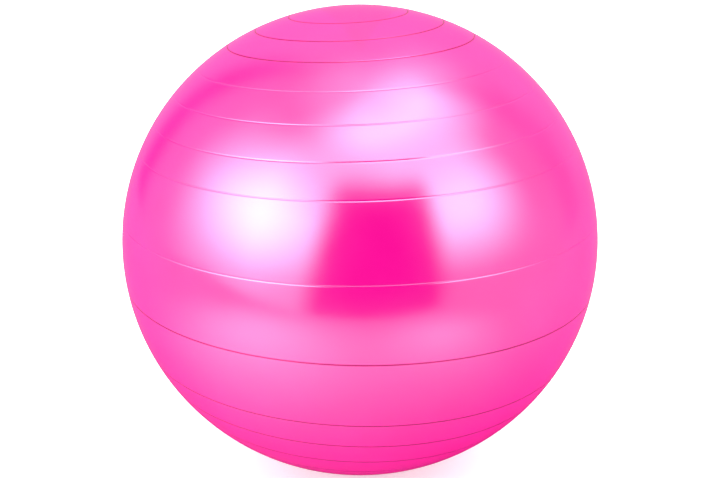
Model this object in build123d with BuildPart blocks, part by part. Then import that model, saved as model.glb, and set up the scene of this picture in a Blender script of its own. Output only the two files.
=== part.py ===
# An inflated exercise ball resting on its own small flat patch: a thin hollow skin with fine grooves
# round it, the soft valve seat welded into it, and the push-in stopper that closes the valve.
# The origin is the middle of the floor patch. +Z is up, and the valve looks along +Y.
from build123d import *

import math
import os

# Skin, in millimetres
ball_diameter = 650.0
ball_squash = 0.989  # the resting ball's height as a share of its width, before the floor flattens it
skin_wall = 0.9
floor_sag = 3.0  # how far the resting ball flattens under its own weight
floor_blend = 60.0  # radius that turns the flat patch up into the ball
patch_margin = 1.0  # width of the flat patch's edge, outside its middle

# Grooves pressed into the skin along circles round the ball, as far above the equator as below it
groove_width = 2.8
groove_depth = 0.6
groove_angles = (8.8, 26.1, 34.4, 42.7, 51.1, 59.8, 67.6, 75.9)  # degrees from the equator

# Bead moulded into the skin round the valve
valve_ring_gap = 3.5  # from the seat's edge to the bead's middle
valve_ring_width = 2.6
valve_ring_height = 0.8

# Stopper
stem_length = 27.0
stem_core_radius = 3.4
stem_tip_radius = 2.2
stem_tip_length = 6.0
stem_neck_length = 4.0
seal_radius = 3.95
seal_width = 2.4
seal_count = 3
seal_pitch = 5.0
head_radius = 9.0
head_thickness = 2.0
head_edge_fillet = 0.7
head_dimple_radius = 5.0
head_dimple_depth = 0.5

# Valve seat
bore_clearance = 0.05
head_side_gap = 0.5
head_seat_gap = 0.1
head_stands_proud = 0.3
barrel_wall = 3.5
barrel_length = 20.0
barrel_chamfer = 1.0
seat_rim = 3.5
flange_lap = 7.0
flange_thickness = 2.0
flange_fillet = 0.6
nail_notch_width = 8.0
nail_notch_reach = 2.0

# The skin's section is drawn round, as if nothing had squashed the ball yet
ball_radius = ball_diameter / 2
inner_radius = ball_radius - skin_wall
round_height = ball_radius - floor_sag  # of the round ball's centre
centre_height = round_height * ball_squash
patch_radius = math.sqrt((ball_radius - floor_blend) ** 2 - (round_height - floor_blend) ** 2)
blend_latitude = math.atan2(floor_blend - round_height, patch_radius)
groove_half_angle = groove_width / 2 / ball_radius
groove_latitudes = sorted(side * math.radians(angle) for angle in groove_angles for side in (-1, 1))

# Fits round the stopper
bore_radius = seal_radius + bore_clearance
recess_radius = head_radius + head_side_gap
recess_depth = head_thickness + head_seat_gap - head_stands_proud
seat_radius = recess_radius + seat_rim
flange_radius = seat_radius + flange_lap
barrel_radius = bore_radius + barrel_wall
valve_ring_radius = seat_radius + valve_ring_gap


# A point of the round ball's section, at a distance from its centre and a latitude.
def skin_point(distance, latitude):
    return (distance * math.cos(latitude), round_height + distance * math.sin(latitude))


# A point of the floor blend's section, with the blend's middle as its centre.
def blend_point(radius, latitude):
    return (patch_radius + radius * math.cos(latitude), floor_blend + radius * math.sin(latitude))


# A point of the valve's section, on a dome at a distance from the ball's centre. The dome is as round
# as the squashed ball is in its upright section, where it curves the most.
def valve_point(distance, from_axis):
    dome_radius = distance * ball_squash**2
    return (from_axis, distance - dome_radius + math.sqrt(dome_radius**2 - from_axis**2))


# Places along the valve's axis, measured from the ball's centre
recess_floor = valve_point(ball_radius, recess_radius)[1] - recess_depth
flange_back = valve_point(inner_radius, flange_radius)[1] - flange_thickness
barrel_end = recess_floor - barrel_length
head_base = recess_floor + head_seat_gap
stem_end = head_base - stem_length

valve_axis = Axis((0, 0, centre_height), (0, 1, 0))
valve_section = Plane.XY.offset(centre_height)


# The plane that crosses the valve's axis at a distance from the ball's centre and faces outwards.
def across_valve(distance):
    return Plane((0, distance, centre_height), x_dir=(1, 0, 0), z_dir=(0, 1, 0))


# Arc along the skin between two latitudes.
def skin_arc(distance, start, end):
    middle = skin_point(distance, (start + end) / 2)
    ThreePointArc(skin_point(distance, start), middle, skin_point(distance, end))


# Arc along the skin that dips towards the ball's centre at each groove on its way.
def grooved_arc(distance, start, end, latitudes):
    half_angle = math.copysign(groove_half_angle, end - start)
    reached = start
    for latitude in latitudes:
        skin_arc(distance, reached, latitude - half_angle)
        ThreePointArc(
            skin_point(distance, latitude - half_angle),
            skin_point(distance - groove_depth, latitude),
            skin_point(distance, latitude + half_angle),
        )
        reached = latitude + half_angle
    skin_arc(distance, reached, end)


# Arc between the floor patch and the skin, from one latitude to another.
def blend_arc(radius, start, end):
    middle = blend_point(radius, (start + end) / 2)
    ThreePointArc(blend_point(radius, start), middle, blend_point(radius, end))


# Arc along the dome at a distance from the ball's centre, across the valve's section.
def valve_arc(distance, start, end):
    middle = valve_point(distance, (start + end) / 2)
    ThreePointArc(valve_point(distance, start), middle, valve_point(distance, end))


# The round edges of one radius, as a filter for edges.
def of_radius(radius):
    return lambda edge: math.isclose(edge.radius, radius, abs_tol=1e-6)


south, north = -math.pi / 2, math.pi / 2

with BuildPart() as ball_skin:
    with BuildSketch(Plane.XZ):
        with BuildLine():
            Line((0, 0), blend_point(floor_blend, south))
            blend_arc(floor_blend, south, blend_latitude)
            grooved_arc(ball_radius, blend_latitude, north, groove_latitudes)
            Line(skin_point(ball_radius, north), skin_point(inner_radius, north))
            grooved_arc(inner_radius, north, blend_latitude, reversed(groove_latitudes))
            blend_arc(floor_blend - skin_wall, blend_latitude, south)
            Line(blend_point(floor_blend - skin_wall, south), (0, skin_wall))
            Line((0, skin_wall), (0, 0))
        make_face()
    revolve(axis=Axis.Z)
    scale(by=(1, 1, ball_squash))
    # The scaling leaves no true planes, so the floor patch's middle is cut out and made again
    with Locations((0, 0, -skin_wall)):
        Cylinder(
            patch_radius - patch_margin,
            3 * skin_wall,
            align=(Align.CENTER, Align.CENTER, Align.MIN),
            mode=Mode.SUBTRACT,
        )
    Cylinder(
        patch_radius - patch_margin,
        skin_wall * ball_squash,
        align=(Align.CENTER, Align.CENTER, Align.MIN),
    )
    with BuildSketch(valve_section):
        ring_inside = valve_ring_radius - valve_ring_width / 2
        ring_outside = valve_ring_radius + valve_ring_width / 2
        ring_root = ball_radius - skin_wall / 2
        with BuildLine():
            ThreePointArc(
                valve_point(ball_radius, ring_inside),
                valve_point(ball_radius + valve_ring_height, valve_ring_radius),
                valve_point(ball_radius, ring_outside),
            )
            Line(valve_point(ball_radius, ring_outside), valve_point(ring_root, ring_outside))
            valve_arc(ring_root, ring_outside, ring_inside)
            Line(valve_point(ring_root, ring_inside), valve_point(ball_radius, ring_inside))
        make_face()
    revolve(axis=valve_axis)
    with BuildSketch(across_valve(flange_back)):
        Circle(seat_radius)
    extrude(amount=ball_radius + valve_ring_height - flange_back, mode=Mode.SUBTRACT)
ball_skin.part.label = "ball_skin"

with BuildPart() as valve_insert:
    with BuildSketch(valve_section):
        with BuildLine():
            Line((bore_radius, recess_floor), (recess_radius, recess_floor))
            Line((recess_radius, recess_floor), valve_point(ball_radius, recess_radius))
            valve_arc(ball_radius, recess_radius, seat_radius)
            Line(valve_point(ball_radius, seat_radius), valve_point(inner_radius, seat_radius))
            valve_arc(inner_radius, seat_radius, flange_radius)
            Line(valve_point(inner_radius, flange_radius), (flange_radius, flange_back))
            Line((flange_radius, flange_back), (barrel_radius, flange_back))
            Line((barrel_radius, flange_back), (barrel_radius, barrel_end))
            Line((barrel_radius, barrel_end), (bore_radius, barrel_end))
            Line((bore_radius, barrel_end), (bore_radius, recess_floor))
        make_face()
    revolve(axis=valve_axis)
    round_edges = valve_insert.edges().filter_by(GeomType.CIRCLE)
    chamfer(round_edges.filter_by(of_radius(barrel_radius)).sort_by(Axis.Y)[0], length=barrel_chamfer)
    round_edges = valve_insert.edges().filter_by(GeomType.CIRCLE)
    fillet(round_edges.filter_by(of_radius(flange_radius)).sort_by(Axis.Y)[0], radius=flange_fillet)
    notch_reach = recess_radius + nail_notch_reach
    with BuildSketch(across_valve(recess_floor)):
        with Locations((0, -notch_reach / 2)):
            Rectangle(nail_notch_width, notch_reach)
        fillet(vertices().group_by(Axis.Y)[0], radius=nail_notch_reach)
    extrude(amount=ball_radius - recess_floor, mode=Mode.SUBTRACT)
valve_insert.part.label = "valve_insert"

with BuildPart() as valve_plug:
    with BuildSketch(valve_section):
        neck_end = head_base - stem_neck_length
        head_top = head_base + head_thickness
        with BuildLine():
            Polyline(
                (0, head_top),
                (head_radius, head_top),
                (head_radius, head_base),
                (seal_radius, head_base),
                (seal_radius, neck_end),
                (stem_core_radius, neck_end),
                (stem_core_radius, stem_end + stem_tip_length),
                (stem_tip_radius, stem_end),
                (0, stem_end),
                close=True,
            )
        make_face()
        for number in range(seal_count):
            seal_middle = neck_end - (number + 1) * seal_pitch + seal_width / 2
            with BuildLine():
                ThreePointArc(
                    (stem_core_radius, seal_middle + seal_width / 2),
                    (seal_radius, seal_middle),
                    (stem_core_radius, seal_middle - seal_width / 2),
                )
                Polyline(
                    (stem_core_radius, seal_middle - seal_width / 2),
                    (0, seal_middle - seal_width / 2),
                    (0, seal_middle + seal_width / 2),
                    (stem_core_radius, seal_middle + seal_width / 2),
                )
            make_face()
    revolve(axis=valve_axis)
    with BuildSketch(across_valve(head_top)):
        Circle(head_dimple_radius)
    extrude(amount=-head_dimple_depth, mode=Mode.SUBTRACT)
    round_edges = valve_plug.edges().filter_by(GeomType.CIRCLE)
    fillet(round_edges.filter_by(of_radius(head_radius)), radius=head_edge_fillet)
valve_plug.part.label = "valve_plug"

os.makedirs("parts", exist_ok=True)
export_step(ball_skin.part, "parts/ball_skin.step")
export_step(valve_insert.part, "parts/valve_insert.step")
export_step(valve_plug.part, "parts/valve_plug.step")
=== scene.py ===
import math

import bmesh
import bpy
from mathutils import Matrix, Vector


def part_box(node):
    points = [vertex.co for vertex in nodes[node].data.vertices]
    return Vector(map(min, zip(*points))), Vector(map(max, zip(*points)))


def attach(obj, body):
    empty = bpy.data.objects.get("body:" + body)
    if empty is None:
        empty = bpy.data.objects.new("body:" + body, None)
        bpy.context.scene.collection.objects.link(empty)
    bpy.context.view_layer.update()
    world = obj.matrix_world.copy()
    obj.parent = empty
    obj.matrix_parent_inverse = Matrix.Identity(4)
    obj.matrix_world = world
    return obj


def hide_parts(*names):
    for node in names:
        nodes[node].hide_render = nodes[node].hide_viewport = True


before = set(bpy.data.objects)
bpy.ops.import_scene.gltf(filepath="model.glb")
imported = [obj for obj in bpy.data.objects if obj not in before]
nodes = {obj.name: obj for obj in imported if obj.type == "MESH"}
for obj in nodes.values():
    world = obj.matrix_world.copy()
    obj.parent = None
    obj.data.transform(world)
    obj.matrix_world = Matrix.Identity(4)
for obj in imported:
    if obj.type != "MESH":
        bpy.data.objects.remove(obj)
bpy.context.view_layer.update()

skinLow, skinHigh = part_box("ball_skin")
seatLow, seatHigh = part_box("valve_insert")
ballRadius = (skinHigh.x - skinLow.x) / 2
ballCentre = Vector((0, 0, (seatLow.z + seatHigh.z) / 2))
squash = (skinHigh.z - ballCentre.z) / ballRadius  # height of the resting ball as a share of its width
roundHeight = ballCentre.z / squash  # of the centre, on the round ball that the profile is worked out on
print("frame loaded, ball radius", round(ballRadius, 4), "centre height", round(ballCentre.z, 4))


# the skin is a turned shell with fine grooves, flat where it rests and open for the valve seat

skin = {
    "wall": 0.0009,
    "patchBlend": 0.060,  # radius between the flat patch and the ball
    "grooveAngles": (8.7, 26.1, 34.2, 42.6, 51.0, 59.8, 67.4, 75.9),  # above and below their equator
    "grooveRise": 0.15,  # their equator lies this much above the ball's
    "grooveTilt": -0.2,  # all of them lean by this, down on the right
    "grooveLean": 3.1,  # and those near the poles by up to this, up on the right at the top
    "leanEnds": (-60, -76),  # the lean dies out between these, before the flat patch
    "grooveHalfWidth": 0.0015,
    "grooveDepth": 0.00028,
    "grooveRows": (1.0, 0.8, 0.6, 0.4, 0.2, 0.0),  # shares of the groove's half width, from its edge in
    "margin": 0.0006,  # plain skin beside a groove that keeps rows of its own, so shading ends there
    "unshadedGrooves": (0, 58),  # the grooves between these latitudes get no painted shade and are as bright as the skin
    "rowPitch": 0.0070,  # largest step between rows of the plain skin
    "columns": 208,
    "patchRings": (0.25, 0.5, 0.75),  # shares of the flat patch's radius
    "blendRows": 4,
    "seatRadius": 0.013,
    "valveRing": 0.0165,
    "valveRingHalfWidth": 0.0017,
    "valveRingHeight": 0.0008,
    "valveRingSteps": 8,
    "valveSurround": (0.0225, 0.0203),  # radii of plain rings outside the bead
    "valveCells": 4,  # columns on each side of the valve that its rings take the place of
}

south, north = -math.pi / 2, math.pi / 2
patchBlend = skin["patchBlend"]
patchRadius = math.sqrt((ballRadius - patchBlend) ** 2 - (roundHeight - patchBlend) ** 2)
blendLatitude = math.atan2(patchBlend - roundHeight, patchRadius)
grooveLatitudes = [math.radians(skin["grooveRise"] + side * angle)
                   for angle in skin["grooveAngles"] for side in (-1, 1)]
grooveLatitudes.sort()


def crest(away, halfWidth, height):
    # a rounded crest that runs out into the skin on both sides
    if abs(away) >= halfWidth:
        return 0.0
    return height * (0.5 + 0.5 * math.cos(math.pi * away / halfWidth))


def evenSteps(start, end, largest):
    count = max(2, 2 * math.ceil((end - start) / largest / 2))
    return [start + (end - start) * i / count for i in range(1, count + 1)]


def leaned(turn, away, height):
    # a point of the profile, turned about the upright axis, leaned over with its ring and squashed
    latitude = math.atan2(height - roundHeight, away)
    start, end = (math.radians(angle) for angle in skin["leanEnds"])
    share = min(1.0, max(0.0, (latitude - end) / (start - end)))
    lean = math.radians(skin["grooveTilt"] + skin["grooveLean"] * math.sin(latitude))
    lean *= share * share * (3 - 2 * share)
    x, y, z = away * math.cos(turn), away * math.sin(turn), height - roundHeight
    leanedHeight = roundHeight + x * math.sin(lean) + z * math.cos(lean)
    return (x * math.cos(lean) - z * math.sin(lean), y, leanedHeight * squash)


def grooveSteps():
    # distances of a groove's rows from its middle, from one edge to the other
    edge, margin = skin["grooveHalfWidth"], skin["margin"]
    half = [edge + margin, edge + margin / 3] + [edge * share for share in skin["grooveRows"]]
    return [-away for away in half] + half[-2::-1]


def skinProfile():
    # (distance from the axis, height, share of painted crease shade) of every row above the flat patch,
    # bottom up
    rows = []
    for i in range(skin["blendRows"]):
        turn = south + (blendLatitude - south) * i / skin["blendRows"]
        away = patchRadius + patchBlend * math.cos(turn)
        rows.append((away, patchBlend * (1 + math.sin(turn)), 0.0))
    steps = grooveSteps()
    unshaded = [math.radians(angle) for angle in skin["unshadedGrooves"]]
    step = skin["rowPitch"] / ballRadius
    points = [(blendLatitude, 0.0, 0.0)]  # latitude, depth and share of painted crease shade
    for latitude in grooveLatitudes:
        start = latitude + steps[0] / ballRadius
        points += [(plain, 0.0, 0.0) for plain in evenSteps(points[-1][0], start, step)]
        for away in steps[1:]:
            depth = crest(away, skin["grooveHalfWidth"], skin["grooveDepth"])
            # outside the unshaded latitudes, each groove row carries a share of painted shade, deepest at
            # the groove's bottom
            creaseShade = 0.0 if unshaded[0] < latitude < unshaded[1] else depth / skin["grooveDepth"]
            points.append((latitude + away / ballRadius, depth, creaseShade))
    points += [(plain, 0.0, 0.0) for plain in evenSteps(points[-1][0], north, step)[:-1]]
    for latitude, depth, creaseShade in points:
        out = ballRadius - depth
        rows.append((out * math.cos(latitude), roundHeight + out * math.sin(latitude), creaseShade))
    return rows


def buildSkin():
    shell = bmesh.new()
    # share of painted shade along the grooves' bottoms, which the skin's material reads
    creaseShadeLayer = shell.verts.layers.float.new("creaseShade")
    columns = skin["columns"]
    turns = [2 * math.pi * c / columns for c in range(columns)]
    rings = []
    for share in skin["patchRings"]:
        reach = patchRadius * share
        rings.append([shell.verts.new((math.cos(t) * reach, math.sin(t) * reach, 0)) for t in turns])
    for away, height, creaseShade in skinProfile():
        rings.append([shell.verts.new(leaned(t, away, height)) for t in turns])
        for vert in rings[-1]:
            vert[creaseShadeLayer] = creaseShade
    bottom, top = shell.verts.new((0, 0, 0)), shell.verts.new(leaned(0, 0, roundHeight + ballRadius))
    for c in range(columns):
        d = (c + 1) % columns
        shell.faces.new((bottom, rings[0][d], rings[0][c]))
        shell.faces.new((top, rings[-1][c], rings[-1][d]))
        for lower, upper in zip(rings, rings[1:]):
            shell.faces.new((lower[c], lower[d], upper[d], upper[c]))
    openForValve(shell, rings)
    mesh = bpy.data.meshes.new("ballSkin")
    shell.normal_update()
    shell.to_mesh(mesh)
    shell.free()
    mesh.shade_smooth()
    piece = bpy.data.objects.new("ballSkin", mesh)
    bpy.context.scene.collection.objects.link(piece)
    return piece


def openForValve(shell, rings):
    # the grid behind the valve is taken out and filled with rings about the valve's own axis
    cells = skin["valveCells"]
    middle = skin["columns"] // 4
    level = min(range(len(rings)), key=lambda r: abs(rings[r][0].co.z - ballCentre.z))
    span = range(-cells, cells + 1)
    edge = [rings[level - cells][middle - i] for i in span]
    edge += [rings[level + j][middle - cells] for j in span][1:]
    edge += [rings[level + cells][middle + i] for i in span][1:]
    edge += [rings[level - j][middle + cells] for j in span][1:-1]
    inside = range(1 - cells, cells)
    inner = [rings[level + j][middle + i] for i in inside for j in inside]
    bmesh.ops.delete(shell, geom=inner, context="VERTS")
    bearings = [math.atan2(v.co.z - ballCentre.z, v.co.x) for v in edge]
    fine = []
    for i, bearing in enumerate(bearings):
        ahead = (bearings[(i + 1) % len(edge)] - bearing) % (2 * math.pi)
        fine += [bearing, bearing + ahead / 2]

    def ringAt(distance, sink=0.0):
        lift = crest(distance - skin["valveRing"], skin["valveRingHalfWidth"], skin["valveRingHeight"])
        dome = (ballRadius + lift) * squash ** 2  # as round as the ball is upright, where it curves most
        out = ballRadius + lift - dome + math.sqrt(dome ** 2 - distance ** 2) - sink
        places = [(distance * math.cos(b), out, ballCentre.z + distance * math.sin(b)) for b in fine]
        return [shell.verts.new(place) for place in places]

    ringOut = skin["valveRing"] + skin["valveRingHalfWidth"]
    ringIn = skin["valveRing"] - skin["valveRingHalfWidth"]
    steps = skin["valveRingSteps"]
    distances = list(skin["valveSurround"])
    distances += [ringOut - (ringOut - ringIn) * i / steps for i in range(steps + 1)]
    distances += [(ringIn + skin["seatRadius"]) / 2, skin["seatRadius"]]
    loops = [ringAt(d) for d in distances] + [ringAt(skin["seatRadius"], skin["wall"])]
    first = loops[0]
    for i, corner in enumerate(edge):
        after = edge[(i + 1) % len(edge)]
        a, b, c = first[2 * i], first[2 * i + 1], first[(2 * i + 2) % len(first)]
        shell.faces.new((corner, a, b))
        shell.faces.new((corner, b, after))
        shell.faces.new((after, b, c))
    for outer, nearer in zip(loops, loops[1:]):
        for i in range(len(fine)):
            j = (i + 1) % len(fine)
            shell.faces.new((outer[i], nearer[i], nearer[j], outer[j]))
    bmesh.ops.recalc_face_normals(shell, faces=shell.faces)


ballSkin = buildSkin()
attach(ballSkin, "ball")
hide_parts("ball_skin")
print("skin built,", len(ballSkin.data.polygons), "faces")


def mathNode(tree, links, operation, first, second=None):
    node = tree.new("ShaderNodeMath")
    node.operation = operation
    for socket, value in zip(node.inputs, (first, second)):
        if isinstance(value, (int, float)):
            socket.default_value = value
        elif value is not None:
            links.new(value, socket)
    return node.outputs[0]


def newGroup(name, inputs, outputs):
    group = bpy.data.node_groups.new(name, "ShaderNodeTree")
    for socketName, kind, value in inputs:
        socket = group.interface.new_socket(socketName, in_out="INPUT", socket_type=kind)
        socket.default_value = value
    for socketName, kind in outputs:
        group.interface.new_socket(socketName, in_out="OUTPUT", socket_type=kind)
    return group, group.nodes.new("NodeGroupInput"), group.nodes.new("NodeGroupOutput")


def makeSurfaceGroup():
    # slow waves of the soft wall and the fine orange peel of its surface, as one height in metres
    group, given, made = newGroup(
        "softSurface",
        [("Wave Size", "NodeSocketFloat", 0.09), ("Wave Height", "NodeSocketFloat", 0.0002),
         ("Peel Size", "NodeSocketFloat", 0.003), ("Peel Height", "NodeSocketFloat", 0.00001)],
        [("Height", "NodeSocketFloat"), ("Mottle", "NodeSocketFloat")],
    )
    tree, links = group.nodes, group.links
    place = tree.new("ShaderNodeTexCoord")
    heights = []
    for size, height, detail in (("Wave Size", "Wave Height", 1.0), ("Peel Size", "Peel Height", 2.0)):
        noise = tree.new("ShaderNodeTexNoise")
        noise.inputs["Detail"].default_value = detail
        noise.inputs["Roughness"].default_value = 0.45  # how strongly the finer layers show
        links.new(place.outputs["Object"], noise.inputs["Vector"])
        links.new(mathNode(tree, links, "DIVIDE", 1.0, given.outputs[size]), noise.inputs["Scale"])
        heights.append(mathNode(tree, links, "MULTIPLY", noise.outputs["Fac"], given.outputs[height]))
    links.new(mathNode(tree, links, "ADD", *heights), made.inputs["Height"])
    mottle = tree.new("ShaderNodeTexNoise")
    mottle.inputs["Scale"].default_value = 14.0  # patches about 7 cm across
    mottle.inputs["Detail"].default_value = 4.0
    links.new(place.outputs["Object"], mottle.inputs["Vector"])
    links.new(mottle.outputs["Fac"], made.inputs["Mottle"])
    return group


softSurface = makeSurfaceGroup()


def newMaterial(name):
    material = bpy.data.materials.new(name)
    material.use_nodes = True
    shader = material.node_tree.nodes["Principled BSDF"]
    return material, material.node_tree.nodes, material.node_tree.links, shader


def addSurface(tree, links, shader, look):
    surface = tree.new("ShaderNodeGroup")
    surface.node_tree = softSurface
    for socketName, key in (("Wave Size", "waveSize"), ("Wave Height", "waveHeight"),
                            ("Peel Size", "peelSize"), ("Peel Height", "peelHeight")):
        surface.inputs[socketName].default_value = look[key]
    bump = tree.new("ShaderNodeBump")
    bump.inputs["Strength"].default_value = 1.0
    bump.inputs["Distance"].default_value = 1.0
    links.new(surface.outputs["Height"], bump.inputs["Height"])
    links.new(bump.outputs["Normal"], shader.inputs["Normal"])
    return surface


def addColourMix(tree, links, factor, low, high):
    mix = tree.new("ShaderNodeMix")
    mix.data_type = "RGBA"
    mix.inputs["A"].default_value = (*low, 1)
    mix.inputs["B"].default_value = (*high, 1)
    links.new(factor, mix.inputs["Factor"])
    return mix.outputs["Result"]


def addRange(tree, links, value, low, high, fromLow=0.3, fromHigh=0.7):
    spread = tree.new("ShaderNodeMapRange")
    spread.inputs["From Min"].default_value = fromLow
    spread.inputs["From Max"].default_value = fromHigh
    spread.inputs["To Min"].default_value = low
    spread.inputs["To Max"].default_value = high
    links.new(value, spread.inputs["Value"])
    return spread.outputs["Result"]


# pearl vinyl of the skin

pearl = {
    "deep": (0.90, 0.0, 0.29),
    "pale": (0.93, 0.001, 0.31),
    "creaseShade": (0.88, 0.0, 0.25),  # painted shade along the bottom of a groove
    # metallic share at a groove's bottom, which darkens its glints there as painted shade
    "creaseShadeMetal": 0.85,
    "roughLow": 0.155,
    "roughHigh": 0.19,
    "ior": 2.6,
    "specular": 0.92,
    "sheenTint": (1.0, 0.62, 0.86),  # colour of its pearl glints
    "waveSize": 0.11,
    "waveHeight": 0.0001,
    "peelSize": 0.0035,
    "peelHeight": 0.000006,
}


def makePearl():
    material, tree, links, shader = newMaterial("pearlVinyl")
    surface = addSurface(tree, links, shader, pearl)
    spread = addRange(tree, links, surface.outputs["Mottle"], 0.0, 1.0)
    # painted shade along the grooves' bottoms: a darker colour and a metallic share where the crease
    # share is high
    creaseShade = tree.new("ShaderNodeAttribute")
    creaseShade.attribute_name = "creaseShade"
    creaseShadeColour = tree.new("ShaderNodeMix")
    creaseShadeColour.data_type = "RGBA"
    links.new(creaseShade.outputs["Fac"], creaseShadeColour.inputs["Factor"])
    links.new(addColourMix(tree, links, spread, pearl["deep"], pearl["pale"]), creaseShadeColour.inputs["A"])
    creaseShadeColour.inputs["B"].default_value = (*pearl["creaseShade"], 1)
    links.new(creaseShadeColour.outputs["Result"], shader.inputs["Base Color"])
    shadeMetal = addRange(tree, links, creaseShade.outputs["Fac"], 0.0, pearl["creaseShadeMetal"], 0.0, 1.0)
    links.new(shadeMetal, shader.inputs["Metallic"])
    rough = addRange(tree, links, surface.outputs["Mottle"], pearl["roughLow"], pearl["roughHigh"])
    links.new(rough, shader.inputs["Roughness"])
    shader.inputs["IOR"].default_value = pearl["ior"]
    shader.inputs["Specular IOR Level"].default_value = pearl["specular"]
    shader.inputs["Specular Tint"].default_value = (*pearl["sheenTint"], 1)
    return material


ballSkin.data.materials.append(makePearl())


# soft valve seat and white stopper

seat = {
    "deep": (0.80, 0.004, 0.18),
    "pale": (0.86, 0.008, 0.21),
    "roughLow": 0.38,
    "roughHigh": 0.46,
    "waveSize": 0.012,
    "waveHeight": 0.00004,
    "peelSize": 0.0012,
    "peelHeight": 0.000006,
}
stopper = {
    "deep": (0.31, 0.305, 0.295),  # under the tent's strong fill this looks white
    "pale": (0.35, 0.345, 0.335),
    "roughLow": 0.34,
    "roughHigh": 0.45,
    "waveSize": 0.010,
    "waveHeight": 0.00008,
    "peelSize": 0.0008,
    "peelHeight": 0.000012,
}


def makeMoulded(name, look):
    material, tree, links, shader = newMaterial(name)
    surface = addSurface(tree, links, shader, look)
    spread = addRange(tree, links, surface.outputs["Mottle"], 0.0, 1.0)
    links.new(addColourMix(tree, links, spread, look["deep"], look["pale"]), shader.inputs["Base Color"])
    rough = addRange(tree, links, surface.outputs["Mottle"], look["roughLow"], look["roughHigh"])
    links.new(rough, shader.inputs["Roughness"])
    return material


def dress(nodeName, material):
    mesh = nodes[nodeName].data
    mesh.materials.clear()
    mesh.materials.append(material)


dress("valve_insert", makeMoulded("softSeat", seat))
dress("valve_plug", makeMoulded("whiteStopper", stopper))
print("materials made")


# a white tent seen from inside: even walls, soft lamps, and a dark opening at the front;
# azimuth 0 is the front and 90 the right side, all in degrees

tent = {
    "wall": 0.414,
    "backdrop": (54.3, 0.099),  # half width and strength of more light straight behind
    "ceiling": (60, 90, 0.642),  # lowest and highest elevation of its glow, strength
    "lamps": {  # middle azimuth and elevation, half width and height, edge widths, strength
        "left": (-50.8, 24.5, 26.2, 19.5, 36.4, 22.6, 4.75),
        "right": (43.2, 27.5, 34.0, 17.2, 20.2, 15.9, 2.64),
        "top": (48.8, 67.4, 80.5, 13.1, 45.0, 19.8, 2.81),
        "apron": (-29.4, -22.9, 64.6, 13.4, 12.9, 12.1, 0.62),
    },
    "opening": (-22.3, 38.0, -39.8, 42.8),  # lowest and highest azimuth, lowest and highest elevation
    "openingLean": 0.186,  # how far the left edge leans over with height
    "openingEdge": 6.65,
    "seams": {"left": (-135.7, 9.5, 0.77), "right": (119.9, 11.5, 0.43)},  # azimuth, half width, depth
    "seamEnds": (75, 45),  # the seams die out between these elevations
    "softFill": 2.5,  # even light that falls on matt colour in place of the lamps
    "shownWhite": 1.0,  # what the camera sees behind the ball
}


def smoothStep(tree, links, value, start, end):
    # 0 at the start and 1 at the end, with a soft turn at both; the start may be the higher one
    step = tree.new("ShaderNodeMapRange")
    step.interpolation_type = "SMOOTHSTEP"
    step.inputs["From Min"].default_value = start
    step.inputs["From Max"].default_value = end
    links.new(value, step.inputs["Value"])
    return step.outputs["Result"]


def bell(tree, links, value, middle, halfWidth):
    # 1 in the middle, falling off smoothly on both sides
    share = mathNode(tree, links, "DIVIDE", mathNode(tree, links, "SUBTRACT", value, middle), halfWidth)
    squared = mathNode(tree, links, "MULTIPLY", share, share)
    return mathNode(tree, links, "EXPONENT", mathNode(tree, links, "MULTIPLY", squared, -1.0))


def addLamp(tree, links, azimuth, elevation, values):
    # one soft box of light on the tent's wall
    middleAz, middleEl, halfWidth, halfHeight, widthEdge, heightEdge, strength = values
    light = strength
    for angle, middle, half, edge in ((azimuth, middleAz, halfWidth, widthEdge),
                                      (elevation, middleEl, halfHeight, heightEdge)):
        away = mathNode(tree, links, "ABSOLUTE", mathNode(tree, links, "SUBTRACT", angle, middle))
        inside = smoothStep(tree, links, away, half + edge, half - edge)
        light = mathNode(tree, links, "MULTIPLY", inside, light)
    return light


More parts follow.
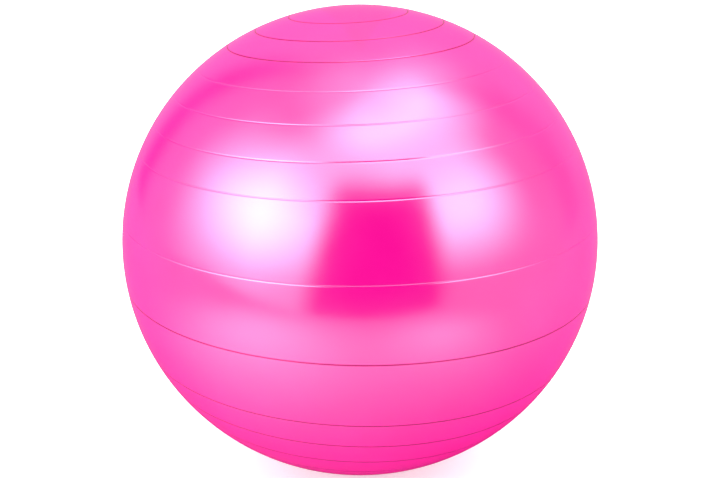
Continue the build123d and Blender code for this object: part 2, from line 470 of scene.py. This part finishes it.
def makeTent():
    world = bpy.data.worlds.new("lightTent")
    bpy.context.scene.world = world
    world.use_nodes = True
    tree, links = world.node_tree.nodes, world.node_tree.links
    tree.clear()
    place = tree.new("ShaderNodeTexCoord")
    split = tree.new("ShaderNodeSeparateXYZ")
    links.new(place.outputs["Generated"], split.inputs[0])
    towardsFront = mathNode(tree, links, "MULTIPLY", split.outputs["Y"], -1.0)
    azimuth = mathNode(tree, links, "ARCTAN2", split.outputs["X"], towardsFront)
    azimuth = mathNode(tree, links, "MULTIPLY", azimuth, 180 / math.pi)
    elevation = mathNode(tree, links, "ARCSINE", split.outputs["Z"])
    elevation = mathNode(tree, links, "MULTIPLY", elevation, 180 / math.pi)

    behind = mathNode(tree, links, "ABSOLUTE", azimuth)
    width, strength = tent["backdrop"]
    light = mathNode(tree, links, "MULTIPLY", bell(tree, links, behind, 180, width), strength)
    light = mathNode(tree, links, "ADD", light, tent["wall"])
    start, end, strength = tent["ceiling"]
    ceiling = mathNode(tree, links, "MULTIPLY", smoothStep(tree, links, elevation, start, end), strength)
    light = mathNode(tree, links, "ADD", light, ceiling)
    for values in tent["lamps"].values():
        light = mathNode(tree, links, "ADD", light, addLamp(tree, links, azimuth, elevation, values))

    lowAz, highAz, lowEl, highEl = tent["opening"]
    soft = tent["openingEdge"]
    lean = mathNode(tree, links, "MULTIPLY", elevation, tent["openingLean"])
    leaning = mathNode(tree, links, "SUBTRACT", azimuth, lean)
    opening = smoothStep(tree, links, leaning, lowAz - soft, lowAz + soft)
    edges = [
        (azimuth, highAz + soft, highAz - soft),
        (elevation, lowEl - soft, lowEl + soft),
        (elevation, highEl + soft, highEl - soft),
    ]
    for value, start, end in edges:
        opening = mathNode(tree, links, "MULTIPLY", opening, smoothStep(tree, links, value, start, end))
    closed = mathNode(tree, links, "SUBTRACT", 1.0, opening)
    light = mathNode(tree, links, "MULTIPLY", light, closed)
    low = smoothStep(tree, links, elevation, *tent["seamEnds"])
    for middle, halfWidth, depth in tent["seams"].values():
        dip = mathNode(tree, links, "MULTIPLY", bell(tree, links, azimuth, middle, halfWidth), depth)
        dip = mathNode(tree, links, "MULTIPLY", dip, low)
        light = mathNode(tree, links, "MULTIPLY", light, mathNode(tree, links, "SUBTRACT", 1.0, dip))

    ray = tree.new("ShaderNodeLightPath")
    even = tree.new("ShaderNodeMix")
    links.new(ray.outputs["Is Diffuse Ray"], even.inputs["Factor"])
    links.new(light, even.inputs["A"])
    links.new(mathNode(tree, links, "MULTIPLY", closed, tent["softFill"]), even.inputs["B"])
    shown = tree.new("ShaderNodeMix")
    links.new(ray.outputs["Is Camera Ray"], shown.inputs["Factor"])
    links.new(even.outputs["Result"], shown.inputs["A"])
    shown.inputs["B"].default_value = tent["shownWhite"]
    background = tree.new("ShaderNodeBackground")
    background.inputs["Color"].default_value = (1, 1, 1, 1)
    links.new(shown.outputs["Result"], background.inputs["Strength"])
    out = tree.new("ShaderNodeOutputWorld")
    links.new(background.outputs[0], out.inputs["Surface"])


makeTent()

# the floor is a pale sheet with two pools of light on its front half, and shade close to the ball

floor = {
    "left": -4.0,
    "right": 4.0,
    "front": -1.372,
    "back": 5.0,
    "roughness": 0.9,
    "pale": 0.86,  # as the camera sees it
    "dull": 0.185,  # as the ball mirrors it
    "shade": (0.46, 0.93),  # radius and depth of the shade under the ball
    "pools": {  # x, y, radius and strength of each pool of light
        "left": (-0.566, -0.676, 0.477, 1.0),
        "right": (0.469, -0.791, 0.323, 0.62),
    },
    "shownGlow": 0.45,  # lifts the sheet to white for the camera
}


def roundFall(tree, links, place, x, y, radius):
    # 1 at (x, y) on the floor, falling off smoothly with distance
    away = tree.new("ShaderNodeVectorMath")
    away.operation = "DISTANCE"
    links.new(place, away.inputs[0])
    away.inputs[1].default_value = (x, y, 0)
    return bell(tree, links, away.outputs["Value"], 0.0, radius)


def makeFloor():
    mesh = bpy.data.meshes.new("floor")
    corners = [
        (floor["left"], floor["front"], 0),
        (floor["right"], floor["front"], 0),
        (floor["right"], floor["back"], 0),
        (floor["left"], floor["back"], 0),
    ]
    mesh.from_pydata(corners, [], [(0, 1, 2, 3)])
    piece = bpy.data.objects.new("floor", mesh)
    bpy.context.scene.collection.objects.link(piece)
    material, tree, links, shader = newMaterial("paleFloor")
    shader.inputs["Roughness"].default_value = floor["roughness"]
    shader.inputs["Specular IOR Level"].default_value = 0.0
    place = tree.new("ShaderNodeTexCoord").outputs["Object"]
    ray = tree.new("ShaderNodeLightPath").outputs["Is Glossy Ray"]
    radius, depth = floor["shade"]
    shade = mathNode(tree, links, "MULTIPLY", roundFall(tree, links, place, 0, 0, radius), depth)
    dull = mathNode(tree, links, "MULTIPLY", mathNode(tree, links, "SUBTRACT", 1.0, shade), floor["dull"])
    tone = tree.new("ShaderNodeMix")
    tone.data_type = "FLOAT"
    links.new(ray, tone.inputs["Factor"])
    tone.inputs["A"].default_value = floor["pale"]
    links.new(dull, tone.inputs["B"])
    links.new(tone.outputs["Result"], shader.inputs["Base Color"])
    pools = 0.0
    for x, y, size, strength in floor["pools"].values():
        pool = mathNode(tree, links, "MULTIPLY", roundFall(tree, links, place, x, y, size), strength)
        pools = mathNode(tree, links, "ADD", pool, pools)
    glow = tree.new("ShaderNodeMix")
    glow.data_type = "FLOAT"
    links.new(ray, glow.inputs["Factor"])
    glow.inputs["A"].default_value = floor["shownGlow"]
    links.new(pools, glow.inputs["B"])
    shader.inputs["Emission Color"].default_value = (1, 1, 1, 1)
    links.new(glow.outputs["Result"], shader.inputs["Emission Strength"])
    mesh.materials.append(material)


makeFloor()
print("studio lit")


view = {
    "elevation": 18.3,  # degrees above the ball's centre
    "distance": 5.37,  # in ball radii
    "lens": 62.78,
    "sensor": 36,
    "clip": (0.01, 100),
    "aimUp": 0.0006,  # how far above the ball's centre it aims
}


def makeCamera():
    rise = math.radians(view["elevation"])
    back = Vector((0, -math.cos(rise), math.sin(rise)))
    up = Vector((0, math.sin(rise), math.cos(rise)))
    data = bpy.data.cameras.new("camera")
    data.lens = view["lens"]
    data.sensor_width = view["sensor"]
    data.clip_start, data.clip_end = view["clip"]
    camera = bpy.data.objects.new("camera", data)
    bpy.context.scene.collection.objects.link(camera)
    camera.rotation_euler = (math.pi / 2 - rise, 0, 0)
    camera.location = ballCentre + back * view["distance"] * ballRadius + up * view["aimUp"]
    bpy.context.scene.camera = camera


makeCamera()
bpy.context.scene.view_settings.view_transform = "Standard"
print("camera set")
